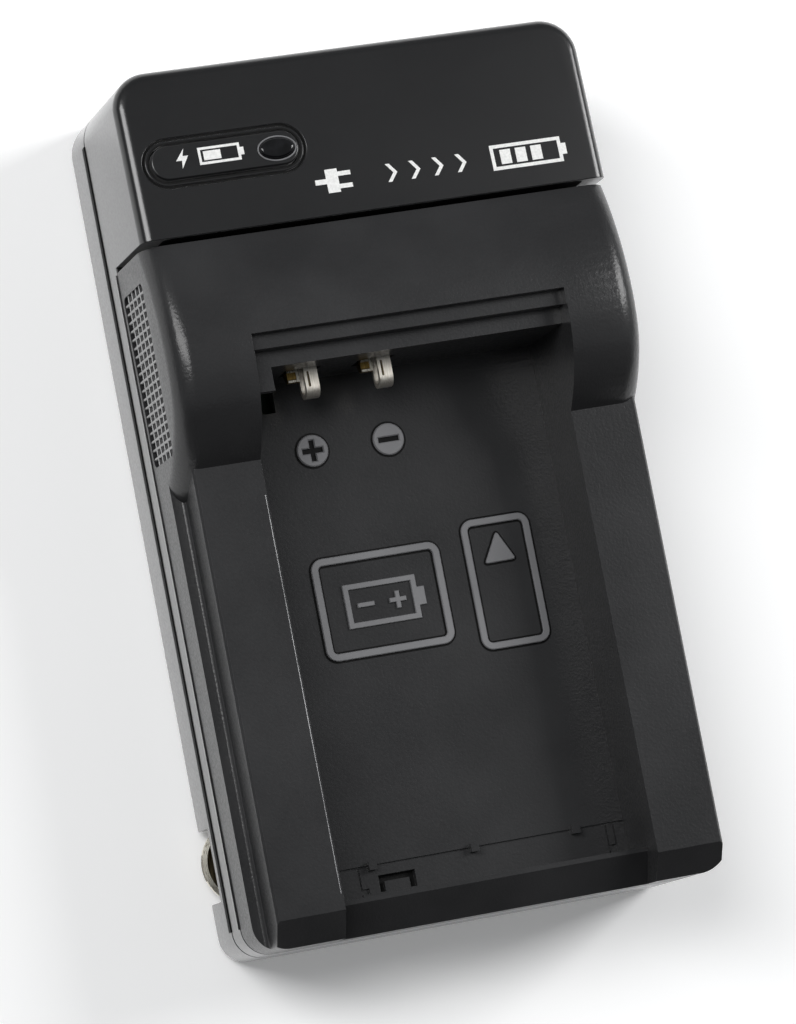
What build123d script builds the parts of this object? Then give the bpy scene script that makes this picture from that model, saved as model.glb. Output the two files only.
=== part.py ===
import os
from math import sqrt

from build123d import *

# Body, lying on its back: X across, Y towards the cap end, Z out of the front
body_width = 52.0
body_length = 93.5
wall = 1.8
cap_corner_radius = 4.0
foot_corner_radius = 3.0
back_edge_radius = 1.6
seam_bevel = 0.3
fit_gap = 0.15
part_gap = 0.6

# Heights above the back
seam_height = 8.3
rim_height = 12.1
rail_height = 22.6
hump_height = 28.4
floor_height = 12.8
cap_drop_end = 4.0
cap_drop_groove = 2.9
cap_edge_radius = 1.3
least_corner_radius = 0.5

# Lengths along the body: the cap, the hump in front of it and the foot of the rails
cap_length = 18.3
hump_length = 26.8
hump_peak_setback = 11.3
rail_start = 2.9
foot_chamfer_drop = 2.4
hump_edge_radius = 2.5
hump_near_drop = 3.2
hump_rise_length = 5.0
hump_rise_drop = 1.1
hump_fall_length = 9.4
hump_fall_drop = 0.8
hump_step_length = 3.6
hump_step_rise = 0.5
hump_toe_drop = 0.4
lip_thickness = 1.2
lip_depth = 1.6
lip_start = 32.0

# Cove along the outside of each rail: a narrow ledge, a small radius and an upright wall
cove_drop = 5.2
cove_radius = 0.6
left_cove_width = 1.5
right_cove_width = 0.8
rail_edge_chamfer = 0.25

# Battery bay
bay_width = 34.8
bay_offset = 0.4
bay_start = 3.9
bay_setback = 15.1
lower_ledge_width = 1.8
lower_ledge_drop = 2.8
upper_ledge_width = 1.6
upper_ledge_drop = 1.2
ledge_tab_length = 2.5
ledge_tab_width = 2.2
ledge_tab_thickness = 1.4
floor_thickness = 1.4
sill_height = 19.3
sill_break = 3.4
sill_drop = 2.2
bump_size = 0.9
bump_height = 0.9
bump_pitch = 11.5
bump_middle = 0.7
line_distance = 7.3
line_width = 0.25
line_depth = 0.3
window_length = 4.1
window_width = 1.8
window_offset = -8.2
window_start = 4.4
window_depth = 0.9
catch_length = 2.8
catch_width = 1.1
catch_drop = 0.3
slit_width = 0.18
slit_pitch = 0.85
slit_left = -12.3
slit_right = 15.75
slit_pocket_length = 0.6
floor_hole_length = 2.8
floor_hole_width = 1.5
floor_hole_offset = -12.5
floor_hole_setback = 3.1

# Finger grip panel in the long sides
grip_length = 18.6
grip_setback = 3.6
grip_bottom = 12.9
grip_top = 21.9
grip_depth = 0.7
grip_corner_radius = 0.8

# Indicator on the cap
pill_length = 18.0
pill_width = 5.5
pill_offset = -15.3
pill_setback = 8.0
pill_groove = 0.3
pill_band = 0.4
pill_depth = 1.0
window_rise = 0.35
led_lens_length = 4.3
led_lens_width = 2.7
led_lens_offset = -9.6
led_diameter = 3.0
led_length = 4.2
led_hole_gap = 0.4
led_leg_size = 0.5
led_leg_pitch = 1.6
led_lens_rise = 0.7
led_lens_edge = 0.5
led_dome_radius = 1.2

# Folding mains blades, lying flat in a channel across the back
blade_width = 6.35
blade_thickness = 1.5
blade_pitch = 12.7
blade_tip_radius = 4.65
blade_tip_chamfer = 0.45
blade_reach = 0.5
blade_hole_diameter = 3.2
blade_hole_setback = 5.0
channel_start = 6.7
channel_width = 8.0
channel_depth = 5.8
channel_wall = 1.5
pivot_height = 2.4
knuckle_diameter = 4.2
pin_diameter = 1.6
pin_gap = 0.1
pin_socket = 1.0
knuckle_side_gap = 0.3
blade_spring_thickness = 0.5
blade_spring_width = 4.0
blade_spring_gap = 0.15
blade_spring_foot = 2.4

# Battery contacts
contact_width = 1.5
contact_thickness = 0.5
contact_pitch = 8.2
contact_offset = -9.3
contact_reach = 2.8
contact_top = 20.4
contact_fold = 2.2
contact_setback = 1.2
leaf_width = 1.3
leaf_gap = 0.3
leaf_drop = 1.0
bend_radius = 0.9
leaf_bend_radius = 0.3
slot_margin = 0.4

# Circuit board and what stands on it
board_width = 34.8
board_start = 5.2
board_setback = 2.6
board_thickness = 1.6
board_height = 8.0
board_post_radius = 1.8
board_post_offset = 14.0
board_post_near = 26.0
board_post_setback = 15.0
transformer_width = 16.0
transformer_length = 12.0
transformer_gap = 0.5
core_limb = 3.4
winding_gap = 0.3
transformer_offset = 5.5
transformer_setback = 9.0
input_capacitor_diameter = 6.4
input_capacitor_gap = 1.6
input_capacitor_offset = -13.4
input_capacitor_setback = 6.0
output_capacitor_diameter = 8.0
output_capacitor_height = 11.0
output_capacitor_offset = 13.0
output_capacitor_setback = 25.5
can_edge_radius = 0.6
can_groove_rise = 1.0
can_groove_width = 0.6
can_groove_depth = 0.35
choke_diameter = 7.0
choke_height = 9.0
choke_flange = 1.0
choke_waist = 1.0
choke_offset = 3.6
choke_setback = 25.5
fuse_diameter = 3.0
fuse_length = 11.0
fuse_cap_length = 2.2
fuse_cap_rise = 0.2
fuse_offset = -11.0
fuse_setback = 25.5
rectifier_length = 6.4
rectifier_width = 5.0
rectifier_height = 1.4
rectifier_offset = -7.5
rectifier_distance = 20.0
chip_length = 6.0
chip_width = 4.0
chip_height = 1.4
chip_distance = 44.0
chip_lead_count = 4
chip_lead_pitch = 1.27
chip_lead_width = 0.45
chip_lead_reach = 1.0
chip_lead_thickness = 0.3

# Screws that close the case from the back
screw_head_diameter = 4.0
screw_head_height = 1.6
screw_shank_diameter = 2.0
screw_recess = 3.4
screw_length = 13.0
screw_gap = 0.2
boss_wall = 0.7
cap_screw_offset = 20.8
cap_screw_setback = 5.4
foot_screw_offset = 21.1
foot_screw_distance = 24.0

half_width = body_width / 2
cap_start = body_length - cap_length
cradle_end = cap_start - part_gap
hump_peak = cradle_end - hump_peak_setback
hump_foot = cradle_end - hump_length
cap_height_end = hump_height - cap_drop_end
cap_height_groove = hump_height - cap_drop_groove
cove_height = rail_height - cove_drop
bay_end = cap_start - bay_setback
lower_ledge_end = bay_end + lower_ledge_width
lower_ledge_height = hump_height - lower_ledge_drop
upper_ledge_end = lower_ledge_end + upper_ledge_width
upper_ledge_height = hump_height - upper_ledge_drop
grip_end = cap_start - grip_setback
grip_start = grip_end - grip_length
pill_distance = cap_start + pill_setback
board_end = body_length - board_setback
cap_slope = (cap_height_groove - cap_height_end) / (body_length - cap_start)
board_top = board_height + board_thickness
cap_headroom = cap_height_end - wall - cap_edge_radius / 2 - board_top
transformer_height = cap_headroom - transformer_gap
input_capacitor_height = cap_headroom - input_capacitor_gap
boss_radius = screw_head_diameter / 2 + screw_gap + boss_wall
channel_middle = channel_start + channel_width / 2
knuckle_length = channel_width - 2 * knuckle_side_gap
bay_half = bay_width / 2
bay_left = bay_offset - bay_half
contact_slot_top = contact_top + contact_thickness
contact_slot_bottom = contact_top - contact_fold - contact_thickness
contact_leg = bay_end + wall + contact_setback
blade_spring_offset = (blade_pitch - knuckle_diameter - blade_spring_thickness) / 2 - blade_spring_gap


def along(distance):
    return distance - body_length / 2


def cap_face(distance):
    rise = cap_height_groove - cap_slope * (distance - cap_start)
    return Plane((0, along(distance), rise), x_dir=(1, 0, 0), z_dir=(0, cap_slope, 1))


screw_spots = [
    (side * offset, along(distance))
    for offset, distance in (
        (cap_screw_offset, body_length - cap_screw_setback),
        (foot_screw_offset, foot_screw_distance),
    )
    for side in (-1, 1)
]
cap_screw_spots = screw_spots[:2]
foot_screw_spots = screw_spots[2:]
board_post_spots = [
    (side * board_post_offset, along(distance))
    for distance in (board_post_near, body_length - board_post_setback)
    for side in (-1, 1)
]
contact_spots = [contact_offset, contact_offset + contact_pitch]
os.makedirs("parts", exist_ok=True)


def outline(inset):
    # Plan of the body, drawn in by a wall or a clearance
    near = along(inset)
    far = along(body_length - inset)
    with BuildSketch(mode=Mode.PRIVATE) as plan:
        with BuildLine():
            Polyline(
                (-half_width + inset, near),
                (half_width - inset, near),
                (half_width - inset, far),
                (-half_width + inset, far),
                close=True,
            )
        make_face()
        fillet(plan.vertices().group_by(Axis.Y)[0], max(foot_corner_radius - inset, least_corner_radius))
        fillet(plan.vertices().group_by(Axis.Y)[-1], max(cap_corner_radius - inset, least_corner_radius))
    return plan.sketch


# Rear half of the case, with the blade channel across its back
with BuildPart() as rear_shell:
    with BuildSketch():
        add(outline(0))
    extrude(amount=seam_height)
    fillet(rear_shell.faces().sort_by(Axis.Z)[0].edges(), back_edge_radius)
    chamfer(rear_shell.faces().sort_by(Axis.Z)[-1].edges(), seam_bevel)
    with BuildSketch(Plane.XY.offset(wall)):
        add(outline(wall))
    extrude(amount=seam_height - wall, mode=Mode.SUBTRACT)
    with BuildSketch(Plane.XY.offset(wall / 2)):
        with Locations((0, along(channel_middle))):
            Rectangle(body_width - wall, channel_width + 2 * channel_wall)
    extrude(amount=channel_depth + channel_wall - wall / 2)
    with BuildSketch(Plane.XY.offset(wall / 2)):
        with Locations(*screw_spots):
            Circle(boss_radius)
    extrude(amount=seam_height - wall / 2)
    with BuildSketch(Plane.XY.offset(wall / 2)):
        with Locations(*board_post_spots):
            Circle(board_post_radius)
    extrude(amount=board_height - wall / 2)
    with BuildSketch():
        with Locations((0, along(channel_middle))):
            Rectangle(2 * body_width, channel_width)
    extrude(amount=channel_depth, mode=Mode.SUBTRACT)
    with BuildSketch():
        with Locations(*screw_spots):
            Circle(screw_shank_diameter / 2 + screw_gap)
    extrude(amount=seam_height, mode=Mode.SUBTRACT)
    with BuildSketch():
        with Locations(*screw_spots):
            Circle(screw_head_diameter / 2 + screw_gap)
    extrude(amount=screw_recess, mode=Mode.SUBTRACT)
    with BuildSketch(Plane.XZ.offset(-along(channel_middle))):
        with Locations(*[(side * blade_pitch / 2, pivot_height) for side in (-1, 1)]):
            Circle(pin_diameter / 2)
    extrude(amount=channel_width / 2 + pin_socket, both=True, mode=Mode.SUBTRACT)
    with BuildSketch(Plane.XY.offset(channel_depth)):
        for side in (-1, 1):
            with Locations((side * blade_spring_offset, along(channel_middle))):
                Rectangle(blade_spring_thickness + 2 * fit_gap, blade_spring_width + 2 * fit_gap)
    extrude(amount=channel_wall, mode=Mode.SUBTRACT)
rear_shell.part.label = "rear_shell"
export_step(rear_shell.part, "parts/rear_shell.step")

# Front frame: the sloping cap and the thin rim that carries the cradle
with BuildPart() as front_frame:
    with BuildSketch(Plane.YZ):
        with BuildLine():
            Polyline(
                (along(0), seam_height),
                (along(body_length), seam_height),
                (along(body_length), cap_height_end),
                (along(cap_start), cap_height_groove),
                (along(cap_start), rim_height),
                (along(0), rim_height),
                close=True,
            )
        make_face()
    extrude(amount=half_width, both=True)
    upright = front_frame.edges().filter_by(Axis.Z)
    fillet(upright.group_by(Axis.Y)[-1], cap_corner_radius)
    fillet(front_frame.edges().filter_by(Axis.Z).group_by(Axis.Y)[0], foot_corner_radius)
    cap_top = front_frame.faces().sort_by(Axis.Z)[-1]
    groove_edge = cap_top.edges().sort_by(Axis.Y)[0]
    fillet([edge for edge in cap_top.edges() if edge != groove_edge], cap_edge_radius)
    inner_top = cap_height_groove - wall - cap_edge_radius / 2
    with BuildSketch(Plane.XY.offset(seam_height)):
        add(outline(wall))
    extrude(amount=rim_height - seam_height, mode=Mode.SUBTRACT)
    with BuildSketch(Plane.YZ):
        with BuildLine():
            Polyline(
                (along(cap_start + wall), seam_height),
                (along(body_length - wall), seam_height),
                (along(body_length - wall), inner_top - cap_slope * (body_length - wall - cap_start)),
                (along(cap_start + wall), inner_top),
                close=True,
            )
        make_face()
    extrude(amount=half_width - wall, both=True, mode=Mode.SUBTRACT)
    with BuildSketch(Plane.XY.offset(seam_height)):
        with Locations(*cap_screw_spots):
            Circle(boss_radius)
    extrude(amount=inner_top - seam_height)
    with BuildSketch(Plane.XY.offset(seam_height)):
        with Locations(*cap_screw_spots):
            Circle(screw_shank_diameter / 2)
    extrude(amount=screw_length + screw_recess - seam_height, mode=Mode.SUBTRACT)
    pocket_plane = cap_face(pill_distance)
    with BuildSketch(pocket_plane):
        with Locations((pill_offset, 0)):
            SlotOverall(pill_length, pill_width)
            SlotOverall(pill_length - 2 * pill_groove, pill_width - 2 * pill_groove, mode=Mode.SUBTRACT)
    extrude(amount=-pill_groove, mode=Mode.SUBTRACT)
    with BuildSketch(pocket_plane):
        with Locations((pill_offset, 0)):
            SlotOverall(
                pill_length - 2 * (pill_groove + pill_band),
                pill_width - 2 * (pill_groove + pill_band),
            )
    extrude(amount=-pill_depth, mode=Mode.SUBTRACT)
    with BuildSketch(pocket_plane):
        with Locations((led_lens_offset, 0)):
            Circle(led_diameter / 2 + led_hole_gap)
    extrude(amount=-2 * wall - cap_edge_radius, mode=Mode.SUBTRACT)
front_frame.part.label = "front_frame"
export_step(front_frame.part, "parts/front_frame.step")

# Hump across the far end of the bay, with soft long edges
with BuildPart() as hump:
    with BuildSketch(Plane.YZ):
        with BuildLine():
            crest = Spline(
                (along(cradle_end), hump_height - hump_near_drop),
                (along(cradle_end - hump_rise_length), hump_height - hump_rise_drop),
                (along(hump_peak), hump_height),
                (along(hump_foot + hump_fall_length), hump_height - hump_fall_drop),
                (along(hump_foot + hump_step_length), rail_height + hump_step_rise),
                (along(hump_foot), cove_height - hump_toe_drop),
            )
            Polyline(
                crest @ 1,
                (along(hump_foot), rim_height),
                (along(cradle_end), rim_height),
                crest @ 0,
            )
        make_face()
    extrude(amount=half_width, both=True)
    fillet(hump.edges().filter_by(GeomType.BSPLINE), hump_edge_radius)

# Battery cradle: two side rails, the hump and the open bay between them
floor_underside = floor_height - floor_thickness
tunnel_top = rail_height - wall
tunnel_edge = half_width - max(left_cove_width, right_cove_width) - wall
slot_left = contact_width / 2 + leaf_gap + leaf_width + slot_margin
slot_right = contact_width / 2 + slot_margin
with BuildPart() as battery_cradle:
    with BuildSketch(Plane.XZ.offset(-along(0))):
        with BuildLine():
            Polyline(
                (-half_width, rim_height),
                (half_width, rim_height),
                (half_width, rail_height),
                (-half_width, rail_height),
                close=True,
            )
        make_face()
    extrude(amount=-hump_peak)
    for side, cove_width in ((-1, left_cove_width), (1, right_cove_width)):
        cove_wall = side * (half_width - cove_width)
        with BuildSketch(Plane.XZ.offset(-along(0))):
            with BuildLine():
                cove_foot = (cove_wall + side * cove_radius, cove_height)
                cove_arc = RadiusArc(
                    cove_foot,
                    (cove_wall, cove_height + cove_radius),
                    side * cove_radius,
                )
                Polyline(
                    cove_arc @ 1,
                    (cove_wall, rail_height - rail_edge_chamfer),
                    (cove_wall - side * rail_edge_chamfer, rail_height),
                    (side * body_width, rail_height),
                    (side * body_width, cove_height),
                    cove_foot,
                )
            make_face()
        extrude(amount=-hump_peak, mode=Mode.SUBTRACT)
    with BuildSketch(Plane.YZ):
        with BuildLine():
            Polyline(
                (along(0), rail_height - foot_chamfer_drop),
                (along(rail_start), rail_height),
                (along(0), rail_height),
                close=True,
            )
        make_face()
    extrude(amount=half_width, both=True, mode=Mode.SUBTRACT)
    add(hump.part)
    with BuildSketch(Plane.XY.offset(rim_height)):
        add(outline(0))
    extrude(amount=hump_height, mode=Mode.INTERSECT)
    chamfer(battery_cradle.faces().sort_by(Axis.Z)[0].edges(), seam_bevel)
    for ledge_end, ledge_height in (
        (bay_end, floor_height),
        (lower_ledge_end, lower_ledge_height),
        (upper_ledge_end, upper_ledge_height),
    ):
        with BuildSketch(Plane.XY.offset(ledge_height)):
            with Locations((bay_offset, along((bay_start + ledge_end) / 2))):
                Rectangle(bay_width, ledge_end - bay_start)
        extrude(amount=hump_height, mode=Mode.SUBTRACT)
    with BuildSketch(Plane.YZ.offset(bay_offset)):
        with BuildLine():
            Polyline(
                (along(bay_start), hump_height),
                (along(bay_start), sill_height),
                (along(sill_break), sill_height),
                (along(0), sill_height - sill_drop),
                (along(0), hump_height),
                close=True,
            )
        make_face()
    extrude(amount=bay_half, both=True, mode=Mode.SUBTRACT)
    with BuildSketch(Plane.XY.offset(floor_underside)):
        with Locations((bay_offset, along((bay_start + bay_end) / 2))):
            Rectangle(bay_width + 2 * wall, bay_end - bay_start + 2 * wall)
    extrude(amount=floor_thickness)
    with BuildSketch(Plane.XY.offset(floor_height)):
        with Locations((bay_offset, along(line_distance))):
            Rectangle(bay_width, line_width)
        for slit in (slit_left, slit_right, slit_right + slit_pitch):
            with Locations((slit, along((bay_start + line_distance) / 2))):
                Rectangle(slit_width, line_distance - bay_start)
        for pocket in (slit_left, slit_right):
            with Locations((pocket + slit_pitch / 2, along(window_start + slit_pocket_length / 2))):
                Rectangle(slit_pitch, slit_pocket_length)
    extrude(amount=-line_depth, mode=Mode.SUBTRACT)
    with BuildSketch(Plane.XY.offset(floor_height)):
        with Locations((window_offset, along(window_start + window_width / 2))):
            Rectangle(window_length, window_width)
    extrude(amount=-window_depth, mode=Mode.SUBTRACT)
    with BuildSketch(Plane.XY.offset(floor_height - window_depth)):
        with Locations((window_offset, along(window_start + catch_width / 2))):
            Rectangle(catch_length, catch_width)
    extrude(amount=window_depth - catch_drop)
    with BuildSketch(Plane.XY.offset(floor_height - line_depth)):
        with Locations((bump_middle, along(line_distance))):
            with GridLocations(bump_pitch, 0, 3, 1):
                Rectangle(bump_size, bump_size)
    extrude(amount=line_depth + bump_height)
    with BuildSketch(Plane.XY.offset(lower_ledge_height)):
        with Locations((bay_left + ledge_tab_width / 2, along(bay_end - ledge_tab_length / 2))):
            Rectangle(ledge_tab_width, ledge_tab_length)
    extrude(amount=-ledge_tab_thickness)
    with BuildSketch(Plane.XY.offset(rim_height)):
        for side in (-1, 1):
            bay_wall = bay_half + side * bay_offset + wall
            with Locations((side * (bay_wall + tunnel_edge) / 2, along((rail_start + wall + bay_end) / 2))):
                Rectangle(tunnel_edge - bay_wall, bay_end - rail_start - wall)
    extrude(amount=tunnel_top - rim_height, mode=Mode.SUBTRACT)
    with BuildSketch(Plane.XY.offset(rim_height)):
        with Locations((0, along((bay_end + cradle_end) / 2))):
            Rectangle(body_width - 2 * wall, cradle_end - bay_end - 2 * wall)
    extrude(amount=lower_ledge_height - wall - rim_height, mode=Mode.SUBTRACT)
    with BuildSketch(Plane.XY.offset(rim_height - lip_depth)):
        for side in (-1, 1):
            lip_offset = half_width - wall - fit_gap - lip_thickness / 2
            with Locations((side * lip_offset, along((lip_start + bay_end) / 2))):
                Rectangle(lip_thickness, bay_end - lip_start)
    extrude(amount=lip_depth + tunnel_top - rim_height)
    with BuildSketch(Plane.XY.offset(seam_height)):
        with Locations(*foot_screw_spots):
            Circle(boss_radius)
    extrude(amount=tunnel_top - seam_height)
    with BuildSketch(Plane.XY.offset(seam_height)):
        with Locations(*foot_screw_spots):
            Circle(screw_shank_diameter / 2)
    extrude(amount=screw_length + screw_recess - seam_height, mode=Mode.SUBTRACT)
    with BuildSketch(Plane.XZ.offset(-along(bay_end))):
        for spot in contact_spots:
            with Locations((spot + (slot_right - slot_left) / 2, (contact_slot_top + contact_slot_bottom) / 2)):
                Rectangle(slot_left + slot_right, contact_slot_top - contact_slot_bottom + 2 * slot_margin)
    extrude(amount=-wall, mode=Mode.SUBTRACT)
    with BuildSketch(Plane.XY.offset(floor_underside)):
        with Locations((floor_hole_offset, along(bay_end - floor_hole_setback + floor_hole_length / 2))):
            Rectangle(floor_hole_width, floor_hole_length)
    extrude(amount=floor_thickness, mode=Mode.SUBTRACT)
    for side in (-1, 1):
        with BuildSketch(Plane.YZ.offset(side * half_width)):
            with Locations((along((grip_start + grip_end) / 2), (grip_bottom + grip_top) / 2)):
                RectangleRounded(grip_end - grip_start, grip_top - grip_bottom, grip_corner_radius)
        extrude(amount=-side * grip_depth, mode=Mode.SUBTRACT)
battery_cradle.part.label = "battery_cradle"
export_step(battery_cradle.part, "parts/battery_cradle.step")

# Pill-shaped plate in the cap and the oval lens in it
plate_inset = pill_groove + pill_band + fit_gap
with BuildPart() as indicator_plate:
    with BuildSketch(cap_face(pill_distance).offset(-pill_depth)):
        with Locations((pill_offset, 0)):
            SlotOverall(pill_length - 2 * plate_inset, pill_width - 2 * plate_inset)
        with Locations((led_lens_offset, 0)):
            Ellipse(led_lens_length / 2, led_lens_width / 2, mode=Mode.SUBTRACT)
    extrude(amount=pill_depth + window_rise)
    chamfer(indicator_plate.faces().sort_by(Axis.Z)[-1].outer_wire().edges(), window_rise / 2)
indicator_plate.part.label = "indicator_plate"
export_step(indicator_plate.part, "parts/indicator_plate.step")

with BuildPart() as led_lens:
    with BuildSketch(cap_face(pill_distance).offset(-pill_depth)):
        with Locations((led_lens_offset, 0)):
            Ellipse(led_lens_length / 2 - fit_gap, led_lens_width / 2 - fit_gap)
    extrude(amount=pill_depth + led_lens_rise)
    fillet(led_lens.faces().sort_by(Axis.Z)[-1].edges(), led_lens_edge)
led_lens.part.label = "led_lens"
export_step(led_lens.part, "parts/led_lens.step")

# Light-emitting diode under the lens, on two legs from the board
led_top = cap_face(pill_distance).origin.Z - pill_depth - 2 * fit_gap
with BuildPart() as charge_led:
    with BuildSketch(Plane.XY.offset(led_top - led_length)):
        with Locations((led_lens_offset, along(pill_distance))):
            Circle(led_diameter / 2)
    extrude(amount=led_length)
    fillet(charge_led.faces().sort_by(Axis.Z)[-1].edges(), led_dome_radius)
    with BuildSketch(Plane.XY.offset(board_top)):
        with Locations((led_lens_offset, along(pill_distance))):
            with GridLocations(led_leg_pitch, 0, 2, 1):
                Rectangle(led_leg_size, led_leg_size)
    extrude(amount=led_top - led_length - board_top)
charge_led.part.label = "charge_led"
export_step(charge_led.part, "parts/charge_led.step")

# Battery contacts: nickelled strips folded into the bay, each with a brass leaf beside it
for name, spot in zip(("positive", "negative"), contact_spots):
    with BuildPart() as contact:
        with BuildSketch(Plane.YZ.offset(spot)):
            with BuildLine():
                FilletPolyline(
                    (along(contact_leg), board_top),
                    (along(contact_leg), contact_top),
                    (along(bay_end - contact_reach), contact_top),
                    (along(bay_end - contact_reach), contact_top - contact_fold),
                    (along(bay_end + wall), contact_top - contact_fold),
                    radius=bend_radius,
                )
            trace(line_width=contact_thickness)
        extrude(amount=contact_width / 2, both=True)
    contact.part.label = f"{name}_contact"
    export_step(contact.part, f"parts/{name}_contact.step")

    with BuildPart() as leaf:
        with BuildSketch(Plane.YZ.offset(spot - (contact_width + leaf_width) / 2 - leaf_gap)):
            with BuildLine():
                FilletPolyline(
                    (along(contact_leg), board_top),
                    (along(contact_leg), contact_top - leaf_drop),
                    (along(bay_end - contact_reach / 2), contact_top - leaf_drop),
                    (along(bay_end), contact_top - contact_fold),
                    radius=leaf_bend_radius,
                )
            trace(line_width=contact_thickness)
        extrude(amount=leaf_width / 2, both=True)
    leaf.part.label = f"{name}_leaf"
    export_step(leaf.part, f"parts/{name}_leaf.step")

# Circuit board
with BuildPart() as circuit_board:
    with BuildSketch(Plane.XY.offset(board_height)):
        with Locations((0, along((board_start + board_end) / 2))):
            Rectangle(board_width, board_end - board_start)
    extrude(amount=board_thickness)
circuit_board.part.label = "circuit_board"
export_step(circuit_board.part, "parts/circuit_board.step")

# Transformer: a ferrite core round a wound bobbin
with BuildPart() as transformer_core:
    with BuildSketch(Plane.XY.offset(board_top)):
        with Locations((transformer_offset, along(body_length - transformer_setback))):
            Rectangle(transformer_width, transformer_length)
            Rectangle(transformer_width - 2 * core_limb, transformer_length - 2 * core_limb, mode=Mode.SUBTRACT)
    extrude(amount=transformer_height)
transformer_core.part.label = "transformer_core"
export_step(transformer_core.part, "parts/transformer_core.step")

with BuildPart() as transformer_winding:
    with BuildSketch(Plane.XY.offset(board_top)):
        with Locations((transformer_offset, along(body_length - transformer_setback))):
            RectangleRounded(
                transformer_width - 2 * (core_limb + winding_gap),
                transformer_length - 2 * (core_limb + winding_gap),
                core_limb / 4,
            )
    extrude(amount=transformer_height)
transformer_winding.part.label = "transformer_winding"
export_step(transformer_winding.part, "parts/transformer_winding.step")

# Capacitor cans with a rolled groove near the foot
for name, offset, distance, diameter, height in (
    (
        "input_capacitor",
        input_capacitor_offset,
        body_length - input_capacitor_setback,
        input_capacitor_diameter,
        input_capacitor_height,
    ),
    (
        "output_capacitor",
        output_capacitor_offset,
        body_length - output_capacitor_setback,
        output_capacitor_diameter,
        output_capacitor_height,
    ),
):
    with BuildPart() as can:
        with BuildSketch(Plane.XY.offset(board_top)):
            with Locations((offset, along(distance))):
                Circle(diameter / 2)
        extrude(amount=height)
        fillet(can.edges().filter_by(GeomType.CIRCLE).sort_by(Axis.Z)[-1], can_edge_radius)
        with BuildSketch(Plane.XY.offset(board_top + can_groove_rise)):
            with Locations((offset, along(distance))):
                Circle(diameter / 2)
                Circle(diameter / 2 - can_groove_depth, mode=Mode.SUBTRACT)
        extrude(amount=can_groove_width, mode=Mode.SUBTRACT)
    can.part.label = name
    export_step(can.part, f"parts/{name}.step")

# Drum choke: a waisted ferrite bobbin
with BuildPart() as choke:
    for start, height, diameter in (
        (0, choke_height, choke_diameter - 2 * choke_waist),
        (0, choke_flange, choke_diameter),
        (choke_height - choke_flange, choke_flange, choke_diameter),
    ):
        with BuildSketch(Plane.XY.offset(board_top + start)):
            with Locations((choke_offset, along(body_length - choke_setback))):
                Circle(diameter / 2)
        extrude(amount=height)
choke.part.label = "choke"
export_step(choke.part, "parts/choke.step")

# Glass fuse with two end caps
fuse_axis_height = board_top + fuse_diameter / 2 + fuse_cap_rise
with BuildPart() as fuse:
    with BuildSketch(Plane.YZ.offset(fuse_offset)):
        with Locations((along(body_length - fuse_setback), fuse_axis_height)):
            Circle(fuse_diameter / 2)
    extrude(amount=fuse_length / 2, both=True)
    for side in (-1, 1):
        with BuildSketch(Plane.YZ.offset(fuse_offset + side * fuse_length / 2)):
            with Locations((along(body_length - fuse_setback), fuse_axis_height)):
                Circle(fuse_diameter / 2 + fuse_cap_rise)
        extrude(amount=-side * fuse_cap_length)
fuse.part.label = "fuse"
export_step(fuse.part, "parts/fuse.step")

with BuildPart() as rectifier:
    with BuildSketch(Plane.XY.offset(board_top)):
        with Locations((rectifier_offset, along(rectifier_distance))):
            Rectangle(rectifier_length, rectifier_width)
    extrude(amount=rectifier_height)
    chamfer(rectifier.edges().filter_by(Axis.Z), chip_lead_thickness)
rectifier.part.label = "rectifier"
export_step(rectifier.part, "parts/rectifier.step")

# Controller chip with a row of leads along each side
with BuildPart() as controller_chip:
    with BuildSketch(Plane.XY.offset(board_top)):
        with Locations((0, along(chip_distance))):
            Rectangle(chip_length, chip_width)
    extrude(amount=chip_height)
    with BuildSketch(Plane.XY.offset(board_top)):
        with Locations((0, along(chip_distance))):
            with GridLocations(chip_lead_pitch, chip_width + chip_lead_reach, chip_lead_count, 2):
                Rectangle(chip_lead_width, chip_lead_reach)
    extrude(amount=chip_lead_thickness)
controller_chip.part.label = "controller_chip"
export_step(controller_chip.part, "parts/controller_chip.step")

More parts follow.
